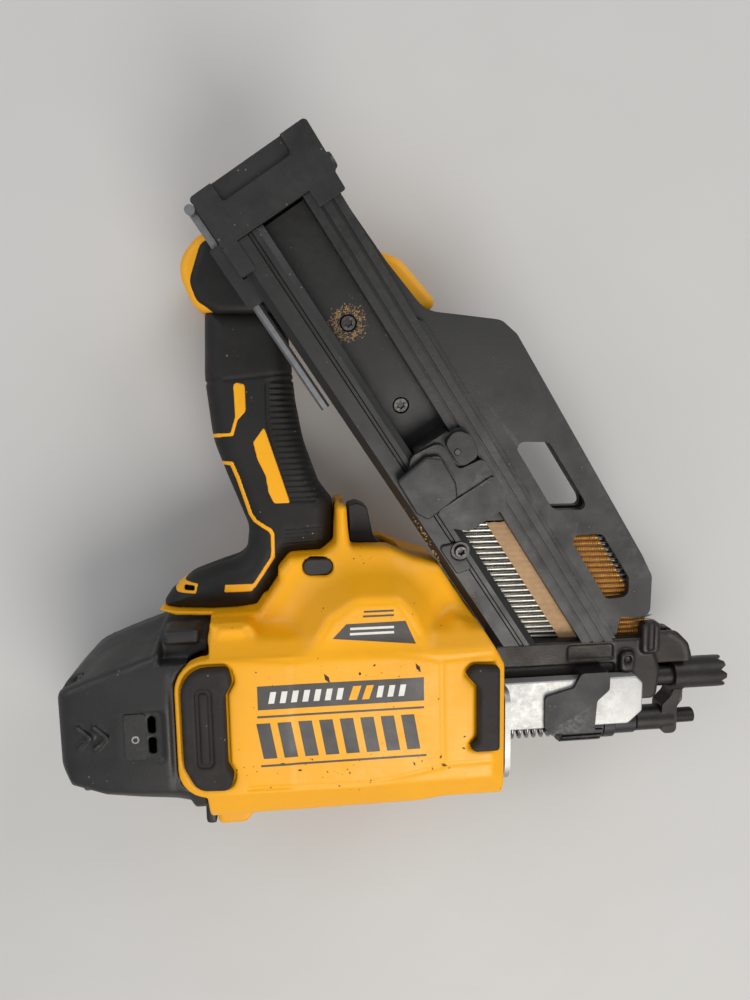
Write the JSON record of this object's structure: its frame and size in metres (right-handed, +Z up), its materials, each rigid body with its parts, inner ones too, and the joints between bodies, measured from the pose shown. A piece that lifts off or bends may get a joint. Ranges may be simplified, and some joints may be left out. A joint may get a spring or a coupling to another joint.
{
  "type": "cordless strip framing nailer",
  "caption": "Cordless flywheel framing nailer with a slanted paper-tape strip magazine, spring pusher, adjustable contact foot and battery foot with no battery, lying on its right side.",
  "frame": {"origin": "centre of the bounding box in X and Y, on the surface the tool lies on", "axes": "+X along the driver towards the nose, +Y from the barrel towards the battery foot, +Z up, out of the tool's left side"},
  "size_m": [0.36, 0.3506, 0.1146],
  "materials": {
    "yellow_housing": "satin moulded plastic",
    "rubber_grip": "matt overmoulded rubber",
    "rubber_pad": "matt rubber",
    "black_moulding": "fine grained plastic",
    "magazine_plastic": "scuffed plastic",
    "dark_screw": "blackened screw heads",
    "cast_aluminium": "as cast",
    "machined_steel": "ground",
    "copper_winding": "enamelled copper",
    "bumper_rubber": "matt",
    "spring_steel": "drawn wire",
    "circuit_board": "potted board",
    "blackened_steel": "phosphated",
    "bright_cover": "satin",
    "zinc_nail": "zinc plated",
    "paper": "pressed paper"
  },
  "bodies": {
    "tool": {"left_housing": "yellow_housing", "right_housing": "yellow_housing", "left_grip": "rubber_grip", "right_grip": "rubber_grip", "rear_cap": "black_moulding", "rear_cap_plate": "black_moulding", "left_rear_pad": "rubber_pad", "right_rear_pad": "rubber_pad", "left_front_pad": "rubber_pad", "right_front_pad": "rubber_pad", "housing_screws": "dark_screw", "rear_cap_screws": "dark_screw", "drive_frame": "cast_aluminium", "motor_stator": "copper_winding", "motor_bearings": "machined_steel", "guide_rods": "machined_steel", "driver_bumpers": "bumper_rubber", "return_springs": "spring_steel", "pinch_pivot_pin": "machined_steel", "solenoid": "copper_winding", "controller_module": "circuit_board", "trigger_pin": "machined_steel", "trigger_switch": "black_moulding", "battery_terminal_block": "black_moulding", "nose_flange": "cast_aluminium", "nose_casting": "blackened_steel", "nose_cover_left": "bright_cover", "nose_cover_right": "bright_cover", "nose_clip": "black_moulding", "nose_bolts": "dark_screw", "trip_spring": "spring_steel", "magazine_body": "magazine_plastic", "magazine_front_plate": "magazine_plastic", "magazine_end_cap": "black_moulding", "magazine_screws": "dark_screw", "magazine_bracket": "magazine_plastic", "nails": "zinc_nail", "paper_tape": "paper", "hex_key": "spring_steel", "key_holder": "magazine_plastic", "end_cap_bolt": "dark_screw"},
    "trigger": {"trigger": "black_moulding"},
    "lock_off_button": {"lock_off_button": "black_moulding"},
    "trip_carriage": {"trip_rod": "machined_steel", "trip_collar": "black_moulding"},
    "depth_wheel": {"depth_wheel": "black_moulding"},
    "contact_foot": {"contact_foot": "blackened_steel"},
    "pusher": {"pusher_carriage": "black_moulding", "pusher_latch_pin": "machined_steel", "pusher_spring": "spring_steel"},
    "pusher_latch": {"pusher_latch": "black_moulding"},
    "driver": {"driver_profile": "machined_steel"},
    "flywheel": {"flywheel_rotor": "machined_steel", "motor_shaft": "machined_steel"},
    "pinch_arm": {"pinch_arm": "machined_steel"},
    "pinch_roller": {"pinch_roller": "machined_steel"},
    "solenoid_plunger": {"solenoid_plunger": "machined_steel"}
  },
  "joints": [
    {"name": "trigger_pull", "type": "hinge", "parent": "tool", "child": "trigger", "pos_m": [-0.029, -0.0317, 0.055], "axis": [0, 0, 1], "range_deg": [0, 5], "stiffness_Nm_per_rad": 0.5, "springref_deg": -22.92},
    {"name": "lock_off_slide", "type": "slide", "parent": "tool", "child": "lock_off_button", "axis": [0, 0, 1], "range_m": [-0.003, 0.003]},
    {"name": "trip_slide", "type": "slide", "parent": "tool", "child": "trip_carriage", "axis": [-1, 0, 0], "range_m": [0, 0.011], "stiffness_N_per_m": 900, "springref_m": -0.012, "deforming": ["trip_spring"]},
    {"name": "depth_wheel_turn", "type": "hinge", "parent": "trip_carriage", "child": "depth_wheel", "pos_m": [0.093, -0.1337, 0.055], "axis": [1, 0, 0], "range_deg": [0, 1190]},
    {"name": "depth_adjust", "type": "slide", "parent": "trip_carriage", "child": "contact_foot", "axis": [1, 0, 0], "range_m": [0, 0.005]},
    {"name": "pusher_slide", "type": "slide", "parent": "tool", "child": "pusher", "axis": [-0.5446, 0.8283, 0.1312], "range_m": [0, 0.11], "stiffness_N_per_m": 40, "springref_m": -0.3},
    {"name": "latch_pivot", "type": "hinge", "parent": "pusher", "child": "pusher_latch", "pos_m": [0.01529, 0.02664, 0.0945], "axis": [0, -0.1564, 0.9877], "range_deg": [0, 12], "stiffness_Nm_per_rad": 0.1, "springref_deg": -28.65},
    {"name": "driver_stroke", "type": "slide", "parent": "tool", "child": "driver", "axis": [1, 0, 0], "range_m": [0, 0.098], "stiffness_N_per_m": 150, "springref_m": -0.06, "deforming": ["return_springs"]},
    {"name": "flywheel_spin", "type": "hinge", "parent": "tool", "child": "flywheel", "pos_m": [-0.013, -0.0697, 0.055], "axis": [0, 0, 1], "continuous": true},
    {"name": "pinch_pivot", "type": "hinge", "parent": "tool", "child": "pinch_arm", "pos_m": [-0.047, -0.1317, 0.055], "axis": [0, 0, 1], "range_deg": [0, 2.5], "stiffness_Nm_per_rad": 4, "springref_deg": -8.59},
    {"name": "roller_spin", "type": "hinge", "parent": "pinch_arm", "child": "pinch_roller", "pos_m": [-0.013, -0.1267, 0.055], "axis": [0, 0, 1], "continuous": true},
    {"name": "solenoid_stroke", "type": "slide", "parent": "tool", "child": "solenoid_plunger", "axis": [1, 0, 0], "range_m": [0, 0.0005]}
  ],
  "couplings": [
    {"joint": "depth_adjust", "follows": "depth_wheel_turn", "m_per_rad": 0.00023873},
    {"joint": "solenoid_stroke", "follows": "pinch_pivot", "m_per_rad": 0.009}
  ]
}
